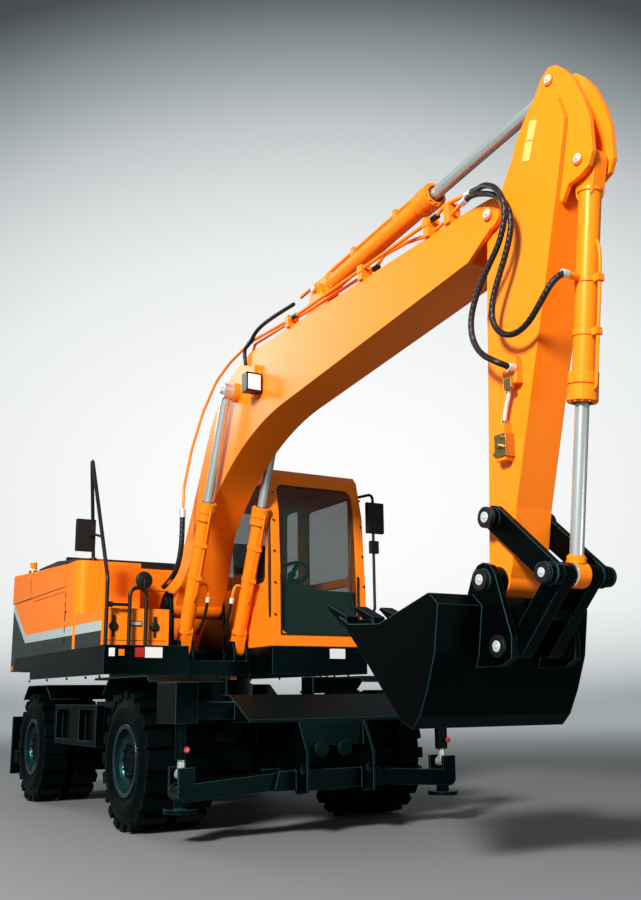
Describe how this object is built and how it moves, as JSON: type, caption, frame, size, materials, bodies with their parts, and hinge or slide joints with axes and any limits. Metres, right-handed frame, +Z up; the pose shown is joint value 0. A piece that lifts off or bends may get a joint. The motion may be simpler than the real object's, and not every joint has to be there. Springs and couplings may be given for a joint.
{
  "type": "wheeled excavator",
  "caption": "Wheeled excavator with a hollow cab, a jointed boom, arm and bucket with their cylinders, steered twin tyres, front outriggers and a rear blade.",
  "frame": {"origin": "on the ground under the middle of the whole machine's box", "axes": "+X towards the boom's end, +Y to the operator's left, +Z up"},
  "size_m": [8.3218, 2.856, 4.501],
  "materials": {
    "body_paint": "satin",
    "frame_paint": "satin",
    "black_paint": "satin",
    "axle_iron": "matte",
    "cab_paint": "satin",
    "hood_shell": "gloss",
    "tinted_glass": "gloss",
    "tyre_rubber": "matte",
    "hose_rubber": "matte",
    "rim_paint": "satin",
    "bright_steel": "satin",
    "chrome_rod": "gloss",
    "cast_engine": "matte",
    "dark_trim": "matte",
    "black_plastic": "matte",
    "lamp_glass": "gloss"
  },
  "bodies": {
    "chassis": {"chassis": "frame_paint", "mudguards": "frame_paint", "side_lockers": "frame_paint", "access_steps": "black_paint", "front_axle": "axle_iron", "rear_axle": "axle_iron", "driveline": "axle_iron", "outrigger_frame": "frame_paint"},
    "steering_rod": {"steering_rod": "bright_steel"},
    "knuckle_left": {"steering_knuckle_left": "axle_iron"},
    "knuckle_right": {"steering_knuckle_right": "axle_iron"},
    "wheels_front_left": {"tyres_front_left": "tyre_rubber", "rims_front_left": "rim_paint"},
    "wheels_front_right": {"tyres_front_right": "tyre_rubber", "rims_front_right": "rim_paint"},
    "wheels_rear_left": {"tyres_rear_left": "tyre_rubber", "rims_rear_left": "rim_paint"},
    "wheels_rear_right": {"tyres_rear_right": "tyre_rubber", "rims_rear_right": "rim_paint"},
    "outrigger_leg_left": {"outrigger_leg_left": "frame_paint"},
    "outrigger_barrel_left": {"outrigger_barrel_left": "frame_paint"},
    "outrigger_rod_left": {"outrigger_rod_left": "chrome_rod"},
    "outrigger_leg_right": {"outrigger_leg_right": "frame_paint"},
    "outrigger_barrel_right": {"outrigger_barrel_right": "frame_paint"},
    "outrigger_rod_right": {"outrigger_rod_right": "chrome_rod"},
    "blade": {"dozer_blade": "frame_paint"},
    "blade_barrels": {"blade_cylinder_barrels": "frame_paint"},
    "blade_rods": {"blade_cylinder_rods": "chrome_rod"},
    "upper": {"upper_frame": "frame_paint", "counterweight": "body_paint", "engine_housing": "body_paint", "engine": "cast_engine", "fuel_tank": "body_paint", "tool_box": "body_paint", "cab": "cab_paint", "cab_windows": "tinted_glass", "operator_station": "dark_trim", "mirrors": "black_plastic", "handrails": "black_plastic", "front_lamps": "lamp_glass"},
    "cab_door": {"cab_door": "cab_paint", "cab_door_windows": "tinted_glass"},
    "side_door_left": {"side_door_left": "body_paint"},
    "side_door_right": {"side_door_right": "body_paint"},
    "engine_hood": {"engine_hood": "hood_shell"},
    "tool_box_lid": {"tool_box_lid": "body_paint"},
    "boom": {"boom": "body_paint", "boom_pipes": "body_paint", "hose_1": "hose_rubber", "hose_2": "hose_rubber"},
    "boom_barrels": {"boom_cylinder_barrel": "body_paint"},
    "boom_rods": {"boom_cylinder_rod": "chrome_rod"},
    "arm": {"arm": "body_paint"},
    "arm_barrel": {"arm_cylinder_barrel": "body_paint"},
    "arm_rod": {"arm_cylinder_rod": "chrome_rod"},
    "bucket_barrel": {"bucket_cylinder_barrel": "body_paint"},
    "bucket_rod": {"bucket_cylinder_rod": "chrome_rod"},
    "rocker": {"bucket_rocker": "black_paint"},
    "bucket_link": {"bucket_link": "black_paint"},
    "bucket": {"bucket": "black_paint"}
  },
  "joints": [
    {"name": "slew", "type": "hinge", "parent": "chassis", "child": "upper", "pos_m": [-1.511, 0, 1.147], "axis": [0, 0, 1], "continuous": true},
    {"name": "steer_left", "type": "hinge", "parent": "chassis", "child": "knuckle_left", "pos_m": [-0.081, 0.69, 0.522], "axis": [0, 0, 1], "range_deg": [-25, 25]},
    {"name": "steer_right", "type": "hinge", "parent": "chassis", "child": "knuckle_right", "pos_m": [-0.081, -0.69, 0.522], "axis": [0, 0, 1], "range_deg": [-25, 25]},
    {"name": "steering_rod_slide", "type": "slide", "parent": "chassis", "child": "steering_rod", "axis": [0, 1, 0], "range_m": [-0.06514, 0.06514]},
    {"name": "wheel_spin_front_left", "type": "hinge", "parent": "knuckle_left", "child": "wheels_front_left", "pos_m": [-0.081, 1.111, 0.522], "axis": [0, 1, 0], "continuous": true},
    {"name": "wheel_spin_front_right", "type": "hinge", "parent": "knuckle_right", "child": "wheels_front_right", "pos_m": [-0.081, -1.111, 0.522], "axis": [0, 1, 0], "continuous": true},
    {"name": "wheel_spin_rear_left", "type": "hinge", "parent": "chassis", "child": "wheels_rear_left", "pos_m": [-2.881, 1.111, 0.522], "axis": [0, 1, 0], "continuous": true},
    {"name": "wheel_spin_rear_right", "type": "hinge", "parent": "chassis", "child": "wheels_rear_right", "pos_m": [-2.881, -1.111, 0.522], "axis": [0, 1, 0], "continuous": true},
    {"name": "outrigger_left", "type": "hinge", "parent": "chassis", "child": "outrigger_leg_left", "pos_m": [0.839, 0.365, 0.4], "axis": [-1, 0, 0], "range_deg": [-2, 22]},
    {"name": "outrigger_barrel_pivot_left", "type": "hinge", "parent": "chassis", "child": "outrigger_barrel_left", "pos_m": [0.839, 1.13, 1.01], "axis": [-1, 0, 0], "range_deg": [-0.4, 1.43]},
    {"name": "outrigger_rod_slide_left", "type": "slide", "parent": "outrigger_barrel_left", "child": "outrigger_rod_left", "axis": [0, 0, -1], "range_m": [-0.02868, 0.29543]},
    {"name": "outrigger_right", "type": "hinge", "parent": "chassis", "child": "outrigger_leg_right", "pos_m": [0.839, -0.365, 0.4], "axis": [1, 0, 0], "range_deg": [-2, 22]},
    {"name": "outrigger_barrel_pivot_right", "type": "hinge", "parent": "chassis", "child": "outrigger_barrel_right", "pos_m": [0.839, -1.13, 1.01], "axis": [1, 0, 0], "range_deg": [-0.4, 1.43]},
    {"name": "outrigger_rod_slide_right", "type": "slide", "parent": "outrigger_barrel_right", "child": "outrigger_rod_right", "axis": [0, 0, -1], "range_m": [-0.02868, 0.29543]},
    {"name": "dozer_blade", "type": "hinge", "parent": "chassis", "child": "blade", "pos_m": [-3.071, 0, 0.44], "axis": [0, 1, 0], "range_deg": [-4, 22]},
    {"name": "blade_barrel_pivot", "type": "hinge", "parent": "chassis", "child": "blade_barrels", "pos_m": [-3.471, 0, 1.06], "axis": [0, 1, 0], "range_deg": [-3.56, 0.89]},
    {"name": "blade_rod_slide", "type": "slide", "parent": "blade_barrels", "child": "blade_rods", "axis": [-0.0859, 0, -0.9963], "range_m": [-0.17218, 0.03294]},
    {"name": "cab_door", "type": "hinge", "parent": "upper", "child": "cab_door", "pos_m": [-1.565, 1.237, 2.232], "axis": [0, 0, 1], "range_deg": [0, 110]},
    {"name": "side_door_left", "type": "hinge", "parent": "upper", "child": "side_door_left", "pos_m": [-3.059, 1.237, 1.745], "axis": [0, 0, 1], "range_deg": [0, 100]},
    {"name": "side_door_right", "type": "hinge", "parent": "upper", "child": "side_door_right", "pos_m": [-1.903, -1.237, 1.745], "axis": [0, 0, 1], "range_deg": [0, 100]},
    {"name": "engine_hood", "type": "hinge", "parent": "upper", "child": "engine_hood", "pos_m": [-1.911, -0.12, 2.262], "axis": [0, 1, 0], "range_deg": [0, 45]},
    {"name": "tool_box_lid", "type": "hinge", "parent": "upper", "child": "tool_box_lid", "pos_m": [-1.503, -0.944, 1.757], "axis": [0, -1, 0], "range_deg": [0, 80]},
    {"name": "boom_lift", "type": "hinge", "parent": "upper", "child": "boom", "pos_m": [-1.391, -0.12, 1.87], "axis": [0, -1, 0], "range_deg": [-44, 27]},
    {"name": "boom_barrel_pivot", "type": "hinge", "parent": "upper", "child": "boom_barrels", "pos_m": [-0.98, -0.12, 1.435], "axis": [0, -1, 0], "range_deg": [-41.83, 25.78]},
    {"name": "boom_rod_slide", "type": "slide", "parent": "boom_barrels", "child": "boom_rods", "axis": [0.3781, 0, 0.9258], "range_m": [-0.4372, 0.26944]},
    {"name": "arm_lift", "type": "hinge", "parent": "boom", "child": "arm", "pos_m": [3.394, -0.12, 3.783], "axis": [0, -1, 0], "range_deg": [-20, 74]},
    {"name": "arm_barrel_pivot", "type": "hinge", "parent": "boom", "child": "arm_barrel", "pos_m": [1.169, -0.12, 4.165], "axis": [0, -1, 0], "range_deg": [-2.22, 7.4]},
    {"name": "arm_rod_slide", "type": "slide", "parent": "arm_barrel", "child": "arm_rod", "axis": [0.9956, 0, 0.094], "range_m": [-0.93872, 0.2559]},
    {"name": "bucket_curl", "type": "hinge", "parent": "arm", "child": "bucket", "pos_m": [3.278, -0.12, 1.612], "axis": [0, -1, 0], "range_deg": [-12, 92]},
    {"name": "rocker_pivot", "type": "hinge", "parent": "arm", "child": "rocker", "pos_m": [3.306, -0.12, 1.961], "axis": [0, -1, 0], "range_deg": [-8.7, 64.67]},
    {"name": "bucket_link_pivot", "type": "hinge", "parent": "rocker", "child": "bucket_link", "pos_m": [3.736, -0.12, 1.605], "axis": [0, -1, 0], "range_deg": [-37.79, 5.19]},
    {"name": "bucket_barrel_pivot", "type": "hinge", "parent": "arm", "child": "bucket_barrel", "pos_m": [4.059, -0.12, 3.831], "axis": [0, -1, 0], "range_deg": [-0.58, 2.45]},
    {"name": "bucket_rod_slide", "type": "slide", "parent": "bucket_barrel", "child": "bucket_rod", "axis": [-0.1436, 0, -0.9896], "range_m": [-0.60016, 0.08089]}
  ],
  "couplings": [
    {"joint": "steer_right", "follows": "steer_left", "ratio": 1},
    {"joint": "steering_rod_slide", "follows": "steer_left", "m_per_rad": -0.147},
    {"joint": "outrigger_barrel_pivot_left", "follows": "outrigger_left", "ratio": 0.0513},
    {"joint": "outrigger_rod_slide_left", "follows": "outrigger_left", "m_per_rad": 0.7642},
    {"joint": "outrigger_barrel_pivot_right", "follows": "outrigger_right", "ratio": 0.0513},
    {"joint": "outrigger_rod_slide_right", "follows": "outrigger_right", "m_per_rad": 0.7642},
    {"joint": "blade_barrel_pivot", "follows": "dozer_blade", "ratio": -0.1483},
    {"joint": "blade_rod_slide", "follows": "dozer_blade", "m_per_rad": -0.4432},
    {"joint": "boom_barrel_pivot", "follows": "boom_lift", "ratio": 0.9438},
    {"joint": "boom_rod_slide", "follows": "boom_lift", "m_per_rad": 0.5654},
    {"joint": "arm_barrel_pivot", "follows": "arm_lift", "ratio": 0.096},
    {"joint": "arm_rod_slide", "follows": "arm_lift", "m_per_rad": -0.7245},
    {"joint": "rocker_pivot", "follows": "bucket_curl", "ratio": 0.6997},
    {"joint": "bucket_link_pivot", "follows": "bucket_curl", "ratio": -0.4075},
    {"joint": "bucket_barrel_pivot", "follows": "bucket_curl", "ratio": 0.0234},
    {"joint": "bucket_rod_slide", "follows": "bucket_curl", "m_per_rad": -0.3719}
  ]
}
